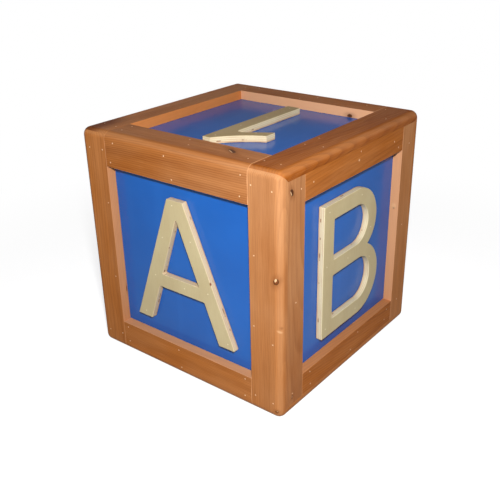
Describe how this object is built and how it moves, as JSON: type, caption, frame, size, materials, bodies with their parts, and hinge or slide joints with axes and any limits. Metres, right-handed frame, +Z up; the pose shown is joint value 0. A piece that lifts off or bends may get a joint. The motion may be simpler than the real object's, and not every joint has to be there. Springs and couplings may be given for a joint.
{
  "type": "alphabet block",
  "caption": "Jumbo wooden alphabet block: a closed plywood box with mitred and butted frame boards and a raised plywood character on every face.",
  "frame": {"origin": "centre of the bottom face, on the surface that the block stands on", "axes": "+Z up, -Y towards the front (the letter A), +X towards the right side (the letter B)"},
  "size_m": [0.46, 0.46, 0.46],
  "materials": {
    "frame_wood": "satin clear finish over orange-brown softwood",
    "blue_paint": "semi-gloss blue paint on plywood",
    "character_plywood": "satin clear finish on pale plywood",
    "inner_wood": "bare sawn softwood",
    "brad_steel": "bright wire",
    "wood_filler": "sanded pale wood filler"
  },
  "bodies": {
    "root": {"front_left_stile": "frame_wood", "front_right_stile": "frame_wood", "front_top_rail": "frame_wood", "front_bottom_rail": "frame_wood", "right_left_stile": "frame_wood", "right_right_stile": "frame_wood", "right_top_rail": "frame_wood", "right_bottom_rail": "frame_wood", "back_left_stile": "frame_wood", "back_right_stile": "frame_wood", "back_top_rail": "frame_wood", "back_bottom_rail": "frame_wood", "left_left_stile": "frame_wood", "left_right_stile": "frame_wood", "left_top_rail": "frame_wood", "left_bottom_rail": "frame_wood", "top_left_board": "frame_wood", "top_right_board": "frame_wood", "top_back_board": "frame_wood", "top_front_board": "frame_wood", "bottom_left_board": "frame_wood", "bottom_right_board": "frame_wood", "bottom_front_board": "frame_wood", "bottom_back_board": "frame_wood", "front_panel": "blue_paint", "right_panel": "blue_paint", "back_panel": "blue_paint", "left_panel": "blue_paint", "top_panel": "blue_paint", "bottom_panel": "blue_paint", "front_letter_a": "character_plywood", "right_letter_b": "character_plywood", "back_digit_2": "character_plywood", "left_letter_c": "character_plywood", "top_digit_1": "character_plywood", "bottom_digit_3": "character_plywood", "front_left_post": "inner_wood", "front_right_post": "inner_wood", "back_right_post": "inner_wood", "back_left_post": "inner_wood", "front_frame_brads": "brad_steel", "right_frame_brads": "brad_steel", "back_frame_brads": "brad_steel", "left_frame_brads": "brad_steel", "top_frame_brads": "brad_steel", "bottom_frame_brads": "brad_steel", "front_character_brads": "brad_steel", "right_character_brads": "brad_steel", "back_character_brads": "brad_steel", "left_character_brads": "brad_steel", "top_character_brads": "brad_steel", "bottom_character_brads": "brad_steel", "front_brad_filler": "wood_filler", "right_brad_filler": "wood_filler", "back_brad_filler": "wood_filler", "left_brad_filler": "wood_filler", "top_brad_filler": "wood_filler", "bottom_brad_filler": "wood_filler"}
  },
  "joints": []
}
